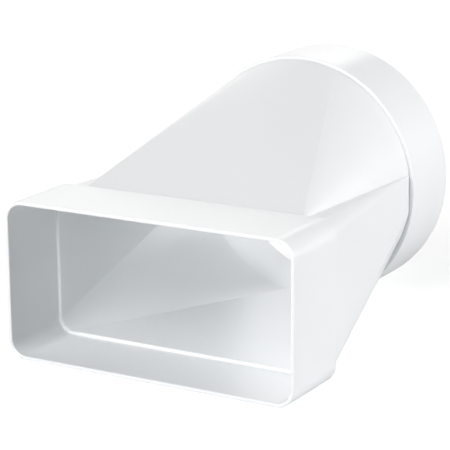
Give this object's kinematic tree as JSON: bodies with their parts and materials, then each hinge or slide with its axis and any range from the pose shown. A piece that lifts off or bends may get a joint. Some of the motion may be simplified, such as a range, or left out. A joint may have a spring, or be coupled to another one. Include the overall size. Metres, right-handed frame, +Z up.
{
  "type": "duct adapter",
  "caption": "One-piece moulded duct adapter: flat rectangular socket with a stop shoulder, a rectangle-to-round body with a level underside, and a round collar.",
  "frame": {"origin": "on the floor, under the middle of the length and of the width", "axes": "+X across the duct, +Y along it from the rectangular socket's mouth to the round collar's end, +Z up"},
  "size_m": [0.1242, 0.1524, 0.1032],
  "materials": {
    "white_plastic": "smooth satin moulding"
  },
  "bodies": {
    "root": {"adapter_body": "white_plastic"}
  },
  "joints": []
}
